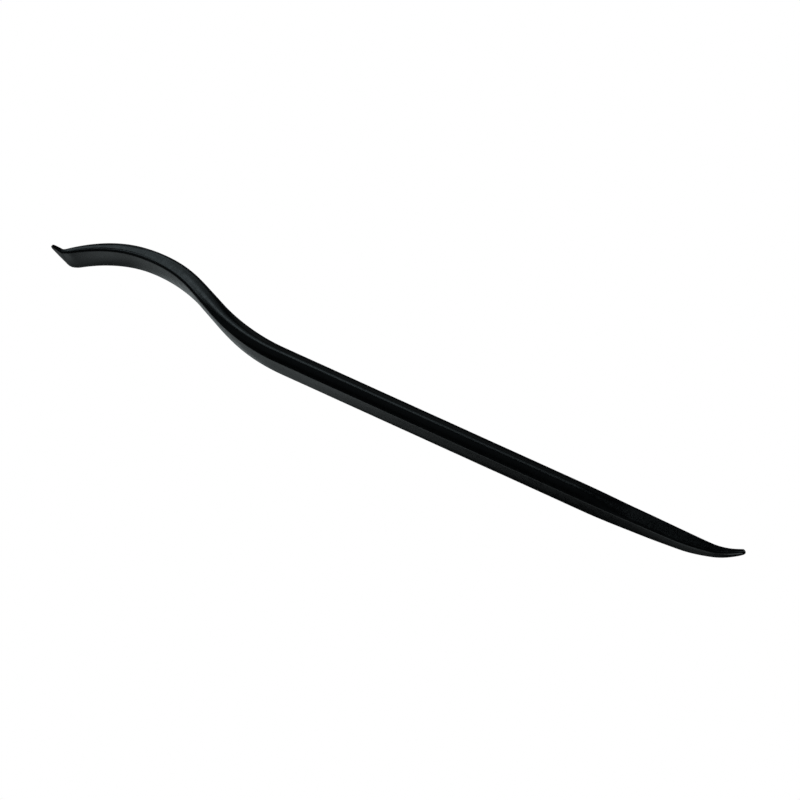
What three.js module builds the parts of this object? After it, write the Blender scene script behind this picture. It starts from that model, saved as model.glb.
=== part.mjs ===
// A double-ended pry spudger, forged in one piece from a flat six-sided bar. Millimetres.
//
// One end is a wide thin blade: it arches away from the line of the shank, and its lip is bent
// sharply back up and narrows to a blunt tongue. The other end is drawn down to a small point
// that also turns up a little.
// The lever is a mirror image of itself across the plane that its bends lie in.
//
// Frame: the lever lies on its side on the bench, the way it comes to rest, so its bends are
// seen from above. +X runs along the straight shank from the lip towards the point, +Y is the
// side that the arch bulges to, +Z is up. The origin is under the middle of the bounding box.

import * as THREE from 'three';

// ---- The line of the bar, from the lip to the point -------------------------------------
// Each stretch is a tangent arc (radius, turn) or a straight (length). A turn is in degrees,
// positive towards +Y.

const LIP_EDGE = { length: 4.7, turn: 0 };
const LIP_BEND = { radius: 2.3, turn: 35.2 };
const LIP_EASE = { radius: 7.8, turn: 8.2 };
const ARCH_LIP_SIDE = { radius: 33.2, turn: -28.6 };
const ARCH_NECK_SIDE = { radius: 50.8, turn: -20.9 };
const NECK = { length: 8.1, turn: 0 };
const SWEEP = { radius: 73.9, turn: 16.2 };
const SHANK = { length: 84.8, turn: 0 };
const TAPER = { length: 25.6, turn: 1.5 };
const POINT_EASE = { radius: 92.4, turn: 5.2 };
const POINT_CURL = { radius: 16.2, turn: 25 };

// ---- The section of the bar -------------------------------------------------------------
// thick: between the two broad faces. flat: the width of each broad face. ridge: how far the
// blunt ridge along each side stands out past the edges of the broad faces.

const TIP_OF_LIP = { thick: 0.5, flat: 3, ridge: 0 };
const END_OF_BEND = { thick: 0.95, flat: 4.6, ridge: 0 };
const ROOT_OF_LIP = { thick: 1.23, flat: 4.6, ridge: 0 };
const ARCH_CREST = { thick: 2.21, flat: 4.9, ridge: 0 };
const NECK_START = { thick: 2.71, flat: 5.92, ridge: 0.25 };
const NECK_END = { thick: 2.86, flat: 5.65, ridge: 0.58 };
const SHANK_BAR = { thick: 3.23, flat: 4.11, ridge: 1.6 };
const TAPER_MIDDLE = { thick: 2.89, flat: 3.93, ridge: 0.31 };
const POINT_ROOT = { thick: 2.57, flat: 3.09, ridge: 0 };
const POINT_MIDDLE = { thick: 1.42, flat: 1.58, ridge: 0 };
const POINT_TIP = { thick: 0.75, flat: 0.81, ridge: 0 };

const TAPER_MIDDLE_AFTER_SHANK = 14.2;
const POINT_ROOT_AFTER_SHANK = 26.2;
const POINT_MIDDLE_FROM_TIP = 4.4;

const EDGE_ROUND = 0.32;       // radius along the four long edges of the broad faces
const RIDGE_ROUND = 0.7;       // radius over the blunt ridge on each side
const EDGE_ROUND_SHARE = 0.72; // the most that an edge's radius takes of half a thin section
const RIDGE_ROUND_SHARE = 0.8; // and the most that the ridge's radius takes of half the thickness
const LEAST_RIDGE_TILT = 0.02; // radians; the ridge's arc never closes up where the ridge fades out

// Each end is rounded off: the length that this takes, how square its shoulders are (2 is an
// ellipse, 1 is near to a straight taper), and the share of the size left at the very end. The
// lip and the point are rounded in width, seen flat on, and both of them in thickness.
const LIP_TONGUE = { length: 6.8, squareness: 1.25, leastShare: 0.1 };
const POINT_NOSE = { length: 1.4, squareness: 2.2, leastShare: 0.6 };
const BLUNT_EDGE = { length: 0.3, squareness: 2, leastShare: 0.45 };

// Degrees that the lever rolls about its shank, lying on one ridge, before the neck's edge
// meets the bench too.
const LEAN_ON_BENCH = 2.5;

// ---- Fineness of the faceted solid ------------------------------------------------------

const STATION_STEP = 1.5;      // along the bends
const SHANK_STEP = 7.5;        // along the straight shank
const END_RINGS = 9;           // over each rounded end
const EDGE_POINTS = 4;         // over each long edge
const RIDGE_POINTS = 4;        // over each ridge

const radians = THREE.MathUtils.degToRad;

const LINE = [
  LIP_EDGE, LIP_BEND, LIP_EASE, ARCH_LIP_SIDE, ARCH_NECK_SIDE, NECK,
  SWEEP, SHANK, TAPER, POINT_EASE, POINT_CURL,
];

function stretchLength(stretch) {
  return stretch.length ?? stretch.radius * Math.abs(radians(stretch.turn));
}

// Distance along the bar from the lip's tip to the end of a stretch.
function endOf(stretch) {
  const count = LINE.indexOf(stretch) + 1;
  return LINE.slice(0, count).reduce((sum, each) => sum + stretchLength(each), 0);
}

const BAR_LENGTH = endOf(POINT_CURL);

// Point and heading of the bar's centre line, walking the stretches from the lip's tip. The
// heading starts so that the shank ends up along +X.
function centreAt(distance) {
  const beforeShank = LINE.slice(0, LINE.indexOf(SHANK));
  let heading = -radians(beforeShank.reduce((sum, each) => sum + each.turn, 0));
  let x = 0;
  let y = 0;
  let left = distance;
  for (const stretch of LINE) {
    const whole = stretchLength(stretch);
    const run = Math.min(left, whole);
    const turned = radians(stretch.turn) * (run / whole);
    const chord = turned === 0 ? run : run * Math.sin(turned / 2) / (turned / 2);
    x += chord * Math.cos(heading + turned / 2);
    y += chord * Math.sin(heading + turned / 2);
    heading += turned;
    left -= run;
    if (left <= 0) break;
  }
  return { x, y, heading };
}

const STATIONS = [
  { at: 0, ...TIP_OF_LIP },
  { at: endOf(LIP_BEND), ...END_OF_BEND },
  { at: endOf(LIP_EASE), ...ROOT_OF_LIP },
  { at: endOf(ARCH_LIP_SIDE), ...ARCH_CREST },
  { at: endOf(ARCH_NECK_SIDE), ...NECK_START },
  { at: endOf(NECK), ...NECK_END },
  { at: endOf(SWEEP), ...SHANK_BAR },
  { at: endOf(SHANK), ...SHANK_BAR },
  { at: endOf(SHANK) + TAPER_MIDDLE_AFTER_SHANK, ...TAPER_MIDDLE },
  { at: endOf(SHANK) + POINT_ROOT_AFTER_SHANK, ...POINT_ROOT },
  { at: BAR_LENGTH - POINT_MIDDLE_FROM_TIP, ...POINT_MIDDLE },
  { at: BAR_LENGTH, ...POINT_TIP },
];

// Slope of one section size at a station: the harmonic mean of the slopes on both sides, and
// flat wherever they disagree in sign, so that the size never swells between two stations.
function slopeAt(index, size) {
  const rise = (from) => {
    const a = STATIONS[from];
    const b = STATIONS[from + 1];
    return (b[size] - a[size]) / (b.at - a.at);
  };
  if (index === 0) return rise(0);
  if (index === STATIONS.length - 1) return rise(index - 1);
  const before = rise(index - 1);
  const after = rise(index);
  return before * after <= 0 ? 0 : 2 * before * after / (before + after);
}

function sizeAt(distance, size) {
  let index = 0;
  while (index < STATIONS.length - 2 && distance > STATIONS[index + 1].at) index += 1;
  const a = STATIONS[index];
  const b = STATIONS[index + 1];
  const span = b.at - a.at;
  const t = THREE.MathUtils.clamp((distance - a.at) / span, 0, 1);
  const near = (1 + 2 * t) * (1 - t) ** 2 * a[size] + t * (1 - t) ** 2 * span * slopeAt(index, size);
  const far = t * t * (3 - 2 * t) * b[size] + t * t * (t - 1) * span * slopeAt(index + 1, size);
  return near + far;
}

// Share of a size left at a distance from a rounded end.
function endShare(fromEnd, { length, squareness, leastShare }) {
  const t = THREE.MathUtils.clamp(1 - fromEnd / length, 0, 1);
  return leastShare + (1 - leastShare) * Math.sqrt(1 - t ** squareness);
}

// Outline of the bar square to its line, as (u, w) points: u across the thickness, w across
// the width. Six corners, each rounded by an arc.
function sectionAt(distance) {
  const fromPoint = BAR_LENGTH - distance;
  const widthShare = endShare(distance, LIP_TONGUE) * endShare(fromPoint, POINT_NOSE);
  const thickShare = endShare(distance, BLUNT_EDGE) * endShare(fromPoint, BLUNT_EDGE);
  const halfThick = sizeAt(distance, 'thick') / 2 * thickShare;
  const halfFlat = sizeAt(distance, 'flat') / 2 * widthShare;
  const ridge = sizeAt(distance, 'ridge');
  const tilt = Math.max(Math.atan2(ridge, halfThick), LEAST_RIDGE_TILT);
  const edgeRound = Math.min(EDGE_ROUND, EDGE_ROUND_SHARE * Math.min(halfThick, halfFlat));
  const ridgeRound = Math.min(RIDGE_ROUND, RIDGE_ROUND_SHARE * halfThick);
  const points = [];

  // An arc between two directions that the outline faces, inside the corner where its two
  // sides meet.
  const arc = (u, w, facingFrom, facingTo, radius, count) => {
    const middle = (facingFrom + facingTo) / 2;
    const inset = radius / Math.cos((facingTo - facingFrom) / 2);
    const cu = u - inset * Math.cos(middle);
    const cw = w - inset * Math.sin(middle);
    for (let step = 0; step < count; step += 1) {
      const facing = facingFrom + (facingTo - facingFrom) * step / (count - 1);
      points.push(new THREE.Vector2(cu + radius * Math.cos(facing), cw + radius * Math.sin(facing)));
    }
  };

  const side = Math.PI / 2;
  arc(halfThick, halfFlat, 0, side - tilt, edgeRound, EDGE_POINTS);
  arc(0, halfFlat + ridge, side - tilt, side + tilt, ridgeRound, RIDGE_POINTS);
  arc(-halfThick, halfFlat, side + tilt, 2 * side, edgeRound, EDGE_POINTS);
  arc(-halfThick, -halfFlat, 2 * side, 3 * side - tilt, edgeRound, EDGE_POINTS);
  arc(0, -halfFlat - ridge, 3 * side - tilt, 3 * side + tilt, ridgeRound, RIDGE_POINTS);
  arc(halfThick, -halfFlat, 3 * side + tilt, 4 * side, edgeRound, EDGE_POINTS);
  return points;
}

// Distances of the rings: close together over the rounded ends, wide apart on the shank.
function ringDistances() {
  const distances = [];
  const fill = (from, to, step) => {
    const count = Math.max(1, Math.round((to - from) / step));
    for (let each = 0; each < count; each += 1) distances.push(from + (to - from) * each / count);
  };
  const fromEnd = (ring, end) => end.length * (1 - Math.cos(Math.PI / 2 * ring / END_RINGS));
  for (let ring = 0; ring < END_RINGS; ring += 1) distances.push(fromEnd(ring, LIP_TONGUE));
  fill(LIP_TONGUE.length, endOf(SWEEP), STATION_STEP);
  fill(endOf(SWEEP), endOf(SHANK), SHANK_STEP);
  fill(endOf(SHANK), BAR_LENGTH - POINT_NOSE.length, STATION_STEP);
  for (let ring = END_RINGS; ring >= 0; ring -= 1) {
    distances.push(BAR_LENGTH - fromEnd(ring, POINT_NOSE));
  }
  return distances;
}

// A closed skin through the rings, with a fan over each end.
function leverGeometry() {
  const positions = [];
  const triangles = [];
  const rings = ringDistances();
  const around = sectionAt(0).length;
  for (const distance of rings) {
    const { x, y, heading } = centreAt(distance);
    for (const { x: u, y: w } of sectionAt(distance)) {
      positions.push(x - u * Math.sin(heading), y + u * Math.cos(heading), w);
    }
  }
  for (let ring = 0; ring < rings.length - 1; ring += 1) {
    for (let step = 0; step < around; step += 1) {
      const next = (step + 1) % around;
      const a = ring * around + step;
      const b = ring * around + next;
      const c = a + around;
      const d = b + around;
      triangles.push(a, d, c, a, b, d);
    }
  }
  const cap = (ring, outward) => {
    const { x, y } = centreAt(rings[ring]);
    const hub = positions.length / 3;
    positions.push(x, y, 0);
    for (let step = 0; step < around; step += 1) {
      const a = ring * around + step;
      const b = ring * around + (step + 1) % around;
      if (outward) triangles.push(hub, a, b);
      else triangles.push(hub, b, a);
    }
  };
  cap(0, false);
  cap(rings.length - 1, true);
  const geometry = new THREE.BufferGeometry();
  geometry.setAttribute('position', new THREE.Float32BufferAttribute(positions, 3));
  geometry.setIndex(triangles);
  geometry.computeVertexNormals();
  return geometry;
}

// Roll the lever onto the bench, then bring the middle of its box over the origin.
function layOnBench(geometry) {
  geometry.rotateX(-radians(LEAN_ON_BENCH));
  geometry.computeBoundingBox();
  const { min, max } = geometry.boundingBox;
  geometry.translate(-(min.x + max.x) / 2, -(min.y + max.y) / 2, -min.z);
  return geometry;
}

const satinBlack = new THREE.MeshStandardMaterial({
  color: 0x141415,
  roughness: 0.42,
  metalness: 0.35,
});

const lever = new THREE.Mesh(layOnBench(leverGeometry()), satinBlack);
lever.name = 'pry_lever';

const spudger = new THREE.Group();
spudger.add(lever);

export default spudger;
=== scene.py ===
import math

import bpy
import numpy as np
from mathutils import Matrix, Vector, noise


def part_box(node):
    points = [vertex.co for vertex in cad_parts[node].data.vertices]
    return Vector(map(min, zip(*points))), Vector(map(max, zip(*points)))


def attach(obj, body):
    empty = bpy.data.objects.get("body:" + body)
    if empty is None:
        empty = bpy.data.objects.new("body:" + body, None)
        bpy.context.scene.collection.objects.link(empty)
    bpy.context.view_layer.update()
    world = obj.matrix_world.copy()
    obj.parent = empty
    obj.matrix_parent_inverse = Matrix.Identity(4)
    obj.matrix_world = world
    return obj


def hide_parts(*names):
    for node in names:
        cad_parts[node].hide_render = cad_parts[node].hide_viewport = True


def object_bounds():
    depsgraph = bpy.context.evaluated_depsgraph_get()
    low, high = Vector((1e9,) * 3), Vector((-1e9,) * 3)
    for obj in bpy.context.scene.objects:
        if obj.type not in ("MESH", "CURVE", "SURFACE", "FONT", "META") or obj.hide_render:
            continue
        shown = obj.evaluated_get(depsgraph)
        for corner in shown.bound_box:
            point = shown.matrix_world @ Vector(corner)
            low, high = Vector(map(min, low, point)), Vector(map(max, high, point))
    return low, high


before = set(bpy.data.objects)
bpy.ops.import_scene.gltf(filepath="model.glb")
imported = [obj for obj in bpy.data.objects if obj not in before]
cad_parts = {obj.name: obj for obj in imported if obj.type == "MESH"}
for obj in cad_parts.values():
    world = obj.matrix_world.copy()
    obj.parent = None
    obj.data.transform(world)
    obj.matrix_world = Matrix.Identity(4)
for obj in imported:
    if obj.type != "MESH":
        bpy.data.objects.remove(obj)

# A double-ended pry spudger, forged in one piece and coated satin black. It lies on its side,
# as it comes to rest: +X runs along the straight shank from the lip to the point, and +Y is the
# side that the arch bulges to.
#
# The bar's own sizes are in millimetres, and its finished skin is scaled by MM. The stage, the
# lights and the camera are in metres.

MM = 0.001
NODE = "pry_lever"
NODE_LOW, NODE_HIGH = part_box(NODE)
CAD_LOW, CAD_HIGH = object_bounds()
MIDDLE = (CAD_LOW + CAD_HIGH) / 2
LENGTH = CAD_HIGH.x - CAD_LOW.x

# ---- The line of the bar, from the lip to the point ---------------------------------------------
# Each stretch is a length and a turn in degrees, positive towards +Y.


def arc(radius, turn):
    return radius * abs(math.radians(turn)), turn


LINE = {
    "lip_edge": (4.7, 0),
    "lip_bend": arc(2.3, 35.2),
    "lip_ease": arc(7.8, 8.2),
    "arch_lip_side": arc(33.2, -28.6),
    "arch_neck_side": arc(50.8, -20.9),
    "neck": (8.1, 0),
    "sweep": arc(73.9, 16.2),
    "shank": (84.8, 0),
    "taper": (25.6, 1.5),
    "point_ease": arc(92.4, 5.2),
    "point_curl": arc(16.2, 25),
}
STRETCH_LENGTHS = np.array([length for length, turn in LINE.values()])
STRETCH_TURNS = np.radians([turn for length, turn in LINE.values()])
STRETCH_STARTS = np.concatenate([[0], np.cumsum(STRETCH_LENGTHS)])
BAR_LENGTH = STRETCH_STARTS[-1]


def end_of(name):
    return STRETCH_STARTS[list(LINE).index(name) + 1]


# ---- The section of the bar ---------------------------------------------------------------------
# Each station is a distance from the lip's tip, the thickness there between the broad faces, the
# width of each broad face, and how far the blunt ridge along each side stands out past them.

STATIONS = np.array([
    (0, 0.5, 3, 0),
    (end_of("lip_bend"), 0.95, 4.6, 0),
    (end_of("lip_ease"), 1.23, 4.6, 0),
    (end_of("arch_lip_side"), 2.21, 4.9, 0),
    (end_of("arch_neck_side"), 2.71, 5.92, 0.25),
    (end_of("neck"), 2.86, 5.65, 0.58),
    (end_of("sweep"), 3.23, 4.11, 1.6),
    (end_of("shank"), 3.23, 4.11, 1.6),
    (end_of("shank") + 14.2, 2.89, 3.93, 0.31),
    (end_of("shank") + 26.2, 2.57, 3.09, 0),
    (BAR_LENGTH - 4.4, 1.42, 1.58, 0),
    (BAR_LENGTH, 0.75, 0.81, 0),
])
STATION_AT, THICK, FLAT, RIDGE = STATIONS.T

EDGE_ROUND = 0.44         # radius along the four long edges of the broad faces
EDGE_ROUND_SHARE = 0.72   # the most that it takes of half a thin section
RIDGE_REACH = 0.8         # how far the ridge's rounding reaches down each bevel
RIDGE_REACH_SHARE = 0.55  # the most that it takes of half the thickness
LEAST_RIDGE_TILT = 0.02   # radians; the ridge's arc never closes up where the ridge fades out
CROWN = 0.035             # how far each face bows out, as a share of its width
LEAN_ON_BENCH = 2.5       # degrees that the lever rolls about its shank, as it comes to rest

# Each end is rounded off over a length, with shoulders of some squareness (2 is an ellipse, 1 is
# near to a straight taper), down to a least share of the size. The lip and the point are rounded
# in width, seen flat on, and both of them in thickness.
LIP_TONGUE = {"length": 6.8, "squareness": 1.25, "least": 0.1}
POINT_NOSE = {"length": 1.4, "squareness": 2.2, "least": 0.7}
BLUNT_EDGE = {"length": 0.3, "squareness": 2, "least": 0.4}

COAT_THICKNESS = 0.07                       # the black coat, over the bare steel
WAVE_HEIGHT, WAVE_LENGTH = 0.010, 7.0       # slow unevenness of the forging
DIMPLE_HEIGHT, DIMPLE_LENGTH = 0.0025, 1.3  # and a finer one

# ---- Fineness of the visible skin ---------------------------------------------------------------

RING_STEP = 0.45
END_RINGS = 26
EDGE_POINTS = 7
RIDGE_POINTS = 9
BEVEL_STEPS = 4           # across each bevel
BROAD_STEPS = 8           # across each broad face

# ---- The coat -----------------------------------------------------------------------------------

COAT_DARK = (0.0006, 0.0009, 0.0012, 1)
COAT_LIGHT = (0.0016, 0.0021, 0.0026, 1)
COAT_ROUGHNESS = (0.24, 0.33)
COAT_IOR = 1.5
WORN_EDGE = (0.016, 0.017, 0.018, 1)
EDGE_WEAR = 0.5           # the most that a long edge takes of the worn colour

# How many of each pattern's features fit in a metre.
BLOTCHES, WEAR_MARKS, SHEEN_GRAINS, PEEL_GRAINS = 130, 260, 900, 4200
PEEL_STRENGTH = 0.35
PEEL_DEPTH = 0.03 * MM
NOISE_SPAN = (0.3, 0.7)   # where nearly all of a noise's values lie

# ---- Stage and camera ---------------------------------------------------------------------------

STAGE_SIZE = 40 * LENGTH  # half the floor's width, and the height of the walls
FLOOR_GAP = 0.02 * MM     # keeps the floor clear of the lever's underside

CAMERA_AZIMUTH, CAMERA_ELEVATION, CAMERA_ROLL = 71.51, 40.6, -38.44
CAMERA_DISTANCE = 3.053
CAMERA_LENS, CAMERA_SENSOR = 766.5, 36  # millimetres, as Blender takes them
CAMERA_CLIP = (0.1, 100)
CAMERA_RIGHT, CAMERA_UP = -0.482 * MM, 0.567 * MM  # its last small move, to frame the lever

# ---- Lights -------------------------------------------------------------------------------------
# The lever is so dark and smooth that it mostly mirrors the soft boxes, so each one sets the
# brightness of one stretch or face. (name, azimuth, elevation, distance, diameter, watts, and
# along X and Y from the middle of the lever, the place that it is aimed at)

# Most of these are off to the lip side. The high ones light the ridge and the bevels above it,
# and the low ones light the face away from the arch, as a white table would.
SOFTBOXES = [
    ("top_box", -116, 27, 0.6, 0.28, 0.048, 0, 0),
    ("ridge_box", -104, 35, 0.6, 0.16, 0.055, 0, 0),
    ("neck_box", -100, 52, 0.15, 0.08, 0.0040, -0.06, 0),
    ("far_bevel_box", -150, 0, 0.25, 0.12, 0.0020, -0.1, 0),
    ("near_bevel_box", -60, 30, 0.6, 0.3, 0.014, 0, 0),
    ("low_front_box", -30, -18, 0.6, 0.3, 0.082, 0, 0),
    ("low_middle_box", -65, -18, 0.6, 0.3, 0.029, 0, 0),
    ("low_lip_box", -75, -28, 0.6, 0.3, 0.028, 0, 0),
    ("low_neck_box", -97, -40, 0.12, 0.05, 0.0020, -0.046, 0),
    ("table_under_blade", 0, -90, 0.05, 0.1, 0.0012, -0.11, 0),
    ("table_before_blade", 0, -90, 0.05, 0.1, 0.0065, -0.11, -0.08),
    ("table_under_point", -40, -38, 0.1, 0.06, 0.0006, 0.085, 0),
]
# These light the sides that the main view doesn't see.
OTHER_SIDE_SOFTBOXES = [
    ("overhead_box", 90, 78, 0.6, 0.4, 0.40, 0, 0),
    ("front_box", 20, -8, 0.6, 0.4, 0.55, 0, 0),
    ("far_side_box", 178, -12, 0.6, 0.5, 0.9, 0, 0),
    ("point_end_box", 132, -12, 0.6, 0.4, 0.6, 0, 0),
]
SKY_TINT = (0.82, 1.0, 1.07)    # of a box above the lever
TABLE_TINT = (0.89, 1.0, 1.02)  # of a box level with it or below
WORLD_COLOUR = (0.002, 0.002, 0.002, 1)


# ---- The lever's skin ---------------------------------------------------------------------------


def chord(run, turned):
    """Straight distance between the ends of an arc."""
    return run * np.sinc(turned / 2 / np.pi)


def centre_line(distance):
    """x, y and heading of the bar's centre line; the shank lies along +X."""
    start_heading = -STRETCH_TURNS[: list(LINE).index("shank")].sum()
    headings = start_heading + np.concatenate([[0], np.cumsum(STRETCH_TURNS)])
    middles = headings[:-1] + STRETCH_TURNS / 2
    steps = chord(STRETCH_LENGTHS, STRETCH_TURNS)
    x_starts = np.concatenate([[0], np.cumsum(steps * np.cos(middles))])
    y_starts = np.concatenate([[0], np.cumsum(steps * np.sin(middles))])

    which = np.searchsorted(STRETCH_STARTS, distance, side="right") - 1
    which = np.clip(which, 0, len(LINE) - 1)
    run = distance - STRETCH_STARTS[which]
    turned = STRETCH_TURNS[which] * run / STRETCH_LENGTHS[which]
    middle = headings[which] + turned / 2
    x = x_starts[which] + chord(run, turned) * np.cos(middle)
    y = y_starts[which] + chord(run, turned) * np.sin(middle)
    return x, y, headings[which] + turned


def section_size(distance, sizes):
    """THICK, FLAT or RIDGE at a distance along the bar: a cubic through the stations that never
    swells between two of them."""
    rises = np.diff(sizes) / np.diff(STATION_AT)
    slopes = np.concatenate([[rises[0]], np.zeros(len(sizes) - 2), [rises[-1]]])
    for i in range(1, len(sizes) - 1):
        before, after = rises[i - 1], rises[i]
        if before * after > 0:
            slopes[i] = 2 * before * after / (before + after)
    i = np.searchsorted(STATION_AT, distance, side="right") - 1
    i = np.clip(i, 0, len(sizes) - 2)
    span = STATION_AT[i + 1] - STATION_AT[i]
    t = np.clip((distance - STATION_AT[i]) / span, 0, 1)
    near = (1 + 2 * t) * (1 - t) ** 2 * sizes[i] + t * (1 - t) ** 2 * span * slopes[i]
    far = t * t * (3 - 2 * t) * sizes[i + 1] + t * t * (t - 1) * span * slopes[i + 1]
    return near + far


def end_share(from_end, length, squareness, least):
    """Share of a size left at a distance from a rounded end."""
    t = np.clip(1 - from_end / length, 0, 1)
    return least + (1 - least) * np.sqrt(1 - t**squareness)


def rounded_corner(u, w, facing_from, facing_to, radius, count):
    """Arc that rounds off the corner at (u, w), turning from one face's facing to the next's."""
    facing = np.linspace(facing_from, facing_to, count)
    inset = radius / math.cos((facing_to - facing_from) / 2)
    middle = (facing_from + facing_to) / 2
    return np.column_stack([
        u - inset * math.cos(middle) + radius * np.cos(facing),
        w - inset * math.sin(middle) + radius * np.sin(facing),
    ])


def crowned_face(start, end, steps):
    """Points between the start and end of a face, which bows out most in its middle."""
    share = np.linspace(0, 1, steps + 1)[1:-1, None]
    across = end - start
    outward = np.array([across[1], -across[0]])
    return start + across * share + CROWN * 4 * share * (1 - share) * outward


def section(distance):
    """Outline of the bar square to its line: points (u across the thickness, w across the
    width), and for each point 1 if it is on a long edge of a broad face, or else 0."""
    from_point = BAR_LENGTH - distance
    width_share = end_share(distance, **LIP_TONGUE) * end_share(from_point, **POINT_NOSE)
    thick_share = end_share(distance, **BLUNT_EDGE) * end_share(from_point, **BLUNT_EDGE)
    half_thick = section_size(distance, THICK) / 2 * thick_share
    half_flat = section_size(distance, FLAT) / 2 * width_share
    ridge = section_size(distance, RIDGE)
    tilt = max(math.atan2(ridge, half_thick), LEAST_RIDGE_TILT)
    edge_round = min(EDGE_ROUND, EDGE_ROUND_SHARE * min(half_thick, half_flat))
    ridge_round = min(RIDGE_REACH, RIDGE_REACH_SHARE * half_thick) / math.tan(tilt)
    side = math.pi / 2

    half = [
        rounded_corner(half_thick, half_flat, 0, side - tilt, edge_round, EDGE_POINTS),
        rounded_corner(0, half_flat + ridge, side - tilt, side + tilt, ridge_round, RIDGE_POINTS),
        rounded_corner(-half_thick, half_flat, side + tilt, 2 * side, edge_round, EDGE_POINTS),
    ]
    corners = half + [-points for points in half]
    on_edge = [1, 0, 1] * 2
    steps = [BEVEL_STEPS, BEVEL_STEPS, BROAD_STEPS] * 2
    outline, edges = [], []
    for i, points in enumerate(corners):
        next_corner = corners[(i + 1) % len(corners)]
        face = crowned_face(points[-1], next_corner[0], steps[i])
        outline += [points, face]
        edges += [np.full(len(points), on_edge[i]), np.zeros(len(face))]
    return np.vstack(outline), np.concatenate(edges)


def ring_distances():
    """Where the outlines stand along the bar: close together over each rounded end."""
    quarter = 1 - np.cos(np.linspace(0, math.pi / 2, END_RINGS))
    lip = LIP_TONGUE["length"] * quarter
    point = BAR_LENGTH - POINT_NOSE["length"] * quarter
    count = round((point[-1] - lip[-1]) / RING_STEP)
    body = np.linspace(lip[-1], point[-1], count + 1)[1:-1]
    return np.concatenate([lip, body, point[::-1]])


def skin_points(distances):
    """Points of the outline at each distance, then the two hubs that close the ends; and for each
    point 1 if it is on an edge, as the hubs are, or else 0."""
    rings, edges = [], []
    for distance in distances:
        x, y, heading = centre_line(distance)
        outline, edge = section(distance)
        u, w = outline.T
        rings.append(np.column_stack([x - u * math.sin(heading), y + u * math.cos(heading), w]))
        edges.append(edge)
    hubs = [rings[0].mean(0), rings[-1].mean(0)]
    lean = Matrix.Rotation(-math.radians(LEAN_ON_BENCH), 3, "X")
    return np.vstack(rings + hubs) @ np.array(lean).T, np.concatenate(edges + [[1, 1]])


def skin_faces(rings, around):
    """Quads between the rings, and a fan of triangles from each end's hub."""
    faces = []
    for ring in range(rings - 1):
        for step in range(around):
            a = ring * around + step
            b = ring * around + (step + 1) % around
            faces.append((a, b, b + around, a + around))
    lip_hub = rings * around
    point_hub = lip_hub + 1
    last = (rings - 1) * around
    for step in range(around):
        after = (step + 1) % around
        faces.append((lip_hub, after, step))
        faces.append((point_hub, last + step, last + after))
    return faces


def coat_height(point):
    """How far the coat's surface stands off the even skin."""
    wave = WAVE_HEIGHT * noise.noise(Vector(point) / WAVE_LENGTH)
    dimple = DIMPLE_HEIGHT * noise.noise(Vector(point) / DIMPLE_LENGTH)
    return COAT_THICKNESS + wave + dimple


def make_lever():
    """The whole visible lever as one closed skin, in the place of its CAD node."""
    distances = ring_distances()
    points, edges = skin_points(distances)
    around = (len(points) - 2) // len(distances)
    mesh = bpy.data.meshes.new("lever")
    mesh.from_pydata(points.tolist(), [], skin_faces(len(distances), around))
    mesh.update()
    edge_share = mesh.attributes.new("edge_share", "FLOAT", "POINT")
    edge_share.data.foreach_set("value", edges.astype(np.float32))

    normals = np.array([vertex.normal for vertex in mesh.vertices])
    heights = np.array([coat_height(point) for point in points])
    points = (points + normals * heights[:, None]) * MM
    mesh.vertices.foreach_set("co", points.ravel())
    mesh.update()
    low, high = Vector(points.min(0)), Vector(points.max(0))
    shift = (NODE_LOW + NODE_HIGH) / 2 - (low + high) / 2
    shift.z = NODE_LOW.z - low.z
    mesh.transform(Matrix.Translation(shift))
    mesh.shade_smooth()

    lever = bpy.data.objects.new("lever", mesh)
    bpy.context.scene.collection.objects.link(lever)
    return lever


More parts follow.
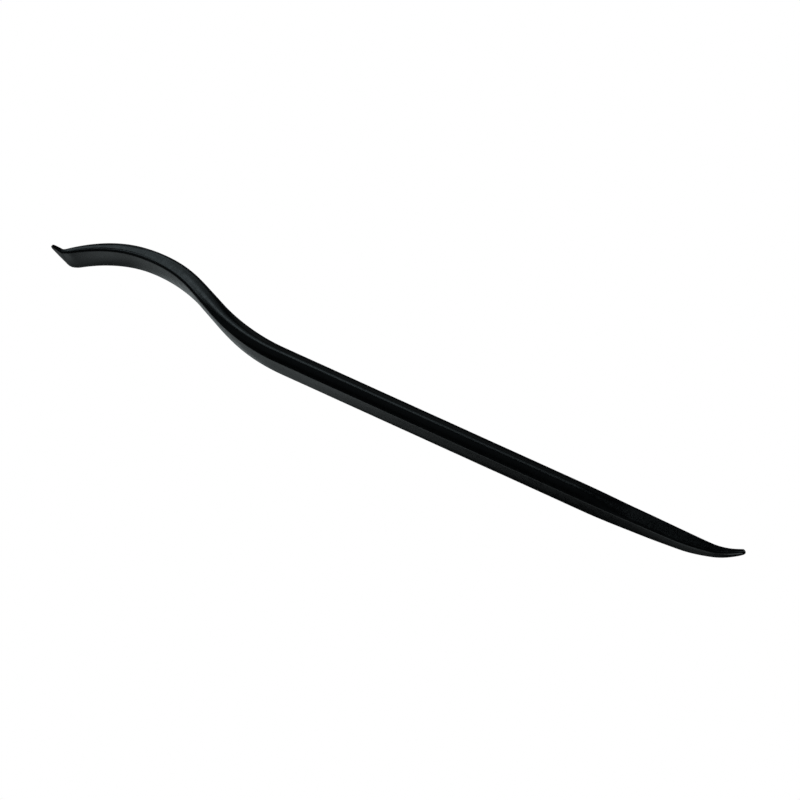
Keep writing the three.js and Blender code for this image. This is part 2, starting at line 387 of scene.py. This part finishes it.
def satin_black():
    """Black coat over forged steel: a fine orange-peel grain, faint blotches, and long edges
    rubbed a little paler by use."""
    material = bpy.data.materials.new("black_coat")
    material.use_nodes = True
    nodes, links = material.node_tree.nodes, material.node_tree.links
    shader = nodes["Principled BSDF"]
    shader.inputs["Metallic"].default_value = 0.0
    shader.inputs["IOR"].default_value = COAT_IOR
    place = nodes.new("ShaderNodeTexCoord")

    def grain(per_metre, detail, roughness=0.5):
        texture = nodes.new("ShaderNodeTexNoise")
        texture.inputs["Scale"].default_value = per_metre
        texture.inputs["Detail"].default_value = detail
        texture.inputs["Roughness"].default_value = roughness
        links.new(place.outputs["Object"], texture.inputs["Vector"])
        return texture.outputs["Fac"]

    def spread(value, low, high):
        """A noise's values stretched over low to high."""
        node = nodes.new("ShaderNodeMapRange")
        node.inputs["From Min"].default_value, node.inputs["From Max"].default_value = NOISE_SPAN
        node.inputs["To Min"].default_value = low
        node.inputs["To Max"].default_value = high
        links.new(value, node.inputs["Value"])
        return node.outputs["Result"]

    def product(first, second):
        node = nodes.new("ShaderNodeMath")
        node.operation = "MULTIPLY"
        links.new(first, node.inputs[0])
        links.new(second, node.inputs[1])
        return node.outputs["Value"]

    def blend(share, first, second):
        """A mix of two colours, either of which may be a link."""
        node = nodes.new("ShaderNodeMix")
        node.data_type = "RGBA"
        links.new(share, node.inputs["Factor"])
        for name, colour in (("A", first), ("B", second)):
            if isinstance(colour, tuple):
                node.inputs[name].default_value = colour
            else:
                links.new(colour, node.inputs[name])
        return node.outputs["Result"]

    edge = nodes.new("ShaderNodeAttribute")
    edge.attribute_name = "edge_share"
    wear = product(edge.outputs["Fac"], spread(grain(WEAR_MARKS, 5, 0.7), 0.0, EDGE_WEAR))
    coat = blend(spread(grain(BLOTCHES, 3), 0, 1), COAT_DARK, COAT_LIGHT)
    links.new(blend(wear, coat, WORN_EDGE), shader.inputs["Base Color"])
    links.new(spread(grain(SHEEN_GRAINS, 4), *COAT_ROUGHNESS), shader.inputs["Roughness"])

    bump = nodes.new("ShaderNodeBump")
    bump.inputs["Strength"].default_value = PEEL_STRENGTH
    bump.inputs["Distance"].default_value = PEEL_DEPTH
    links.new(grain(PEEL_GRAINS, 3, 0.6), bump.inputs["Height"])
    links.new(bump.outputs["Normal"], shader.inputs["Normal"])
    return material


# ---- Around the lever: stage, lights and camera -------------------------------------------------


def stage_piece(name, corners, faces):
    """A white glowing surface that only the camera sees: it doesn't light the lever, take its
    shadow, or stop the light of the boxes below the floor."""
    mesh = bpy.data.meshes.new(name)
    mesh.from_pydata(corners, [], faces)
    piece = bpy.data.objects.new(name, mesh)
    bpy.context.scene.collection.objects.link(piece)
    material = bpy.data.materials.new(name)
    material.use_nodes = True
    nodes, links = material.node_tree.nodes, material.node_tree.links
    nodes.remove(nodes["Principled BSDF"])
    glow = nodes.new("ShaderNodeEmission")
    links.new(glow.outputs["Emission"], nodes["Material Output"].inputs["Surface"])
    mesh.materials.append(material)
    piece.visible_glossy = False
    piece.visible_diffuse = False
    piece.visible_shadow = False


def make_stage():
    """A floor under the lever, and a box of white walls and ceiling far around it."""
    floor_z = CAD_LOW.z - FLOOR_GAP
    square = [(-1, -1), (1, -1), (1, 1), (-1, 1)]
    low = [(MIDDLE.x + STAGE_SIZE * x, MIDDLE.y + STAGE_SIZE * y, floor_z) for x, y in square]
    high = [(x, y, STAGE_SIZE) for x, y, _ in low]
    stage_piece("floor", low, [(0, 1, 2, 3)])
    walls = [(0, 1, 5, 4), (1, 2, 6, 5), (2, 3, 7, 6), (3, 0, 4, 7)]
    ceiling = (4, 5, 6, 7)
    stage_piece("backdrop", low + high, walls + [ceiling])


def aim(item, place, target, roll=0.0):
    """Puts an item at a place, looking at a target, and rolls it about its own axis."""
    turn = (Vector(target) - Vector(place)).to_track_quat("-Z", "Y").to_matrix()
    item.matrix_world = Matrix.Translation(place) @ (turn @ Matrix.Rotation(roll, 3, "Z")).to_4x4()


def direction(azimuth, elevation):
    """Unit vector from the lever towards an azimuth and elevation in degrees; azimuth 0 is at -Y
    and 90 at +X."""
    a, e = math.radians(azimuth), math.radians(elevation)
    return Vector((math.sin(a) * math.cos(e), -math.cos(a) * math.cos(e), math.sin(e)))


def make_softbox(name, azimuth, elevation, distance, diameter, watts, x, y):
    light = bpy.data.lights.new(name, "AREA")
    light.shape = "DISK"
    light.size = diameter
    light.energy = watts
    light.color = SKY_TINT if elevation > 0 else TABLE_TINT
    box = bpy.data.objects.new(name, light)
    bpy.context.scene.collection.objects.link(box)
    target = MIDDLE + Vector((x, y, 0))
    aim(box, target + direction(azimuth, elevation) * distance, target)
    box.visible_camera = False


def make_lights():
    world = bpy.data.worlds.new("studio")
    bpy.context.scene.world = world
    world.use_nodes = True
    world.node_tree.nodes["Background"].inputs["Color"].default_value = WORLD_COLOUR
    for box in SOFTBOXES + OTHER_SIDE_SOFTBOXES:
        make_softbox(*box)


def make_camera():
    """A far camera with a long lens, looking at the floor under the middle of the lever and then
    moved a little to frame it."""
    data = bpy.data.cameras.new("camera")
    data.lens = CAMERA_LENS
    data.sensor_width = CAMERA_SENSOR
    data.clip_start, data.clip_end = CAMERA_CLIP
    camera = bpy.data.objects.new("camera", data)
    bpy.context.scene.collection.objects.link(camera)
    foot = Vector((MIDDLE.x, MIDDLE.y, CAD_LOW.z))
    back = direction(CAMERA_AZIMUTH, CAMERA_ELEVATION)
    aim(camera, foot + back * CAMERA_DISTANCE, foot, math.radians(CAMERA_ROLL))
    camera.location += camera.matrix_world.to_3x3() @ Vector((CAMERA_RIGHT, CAMERA_UP, 0))
    bpy.context.scene.camera = camera


lever = make_lever()
lever.data.materials.append(satin_black())
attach(lever, "root")
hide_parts(NODE)

make_stage()
make_lights()
make_camera()
bpy.context.scene.view_settings.view_transform = "Standard"
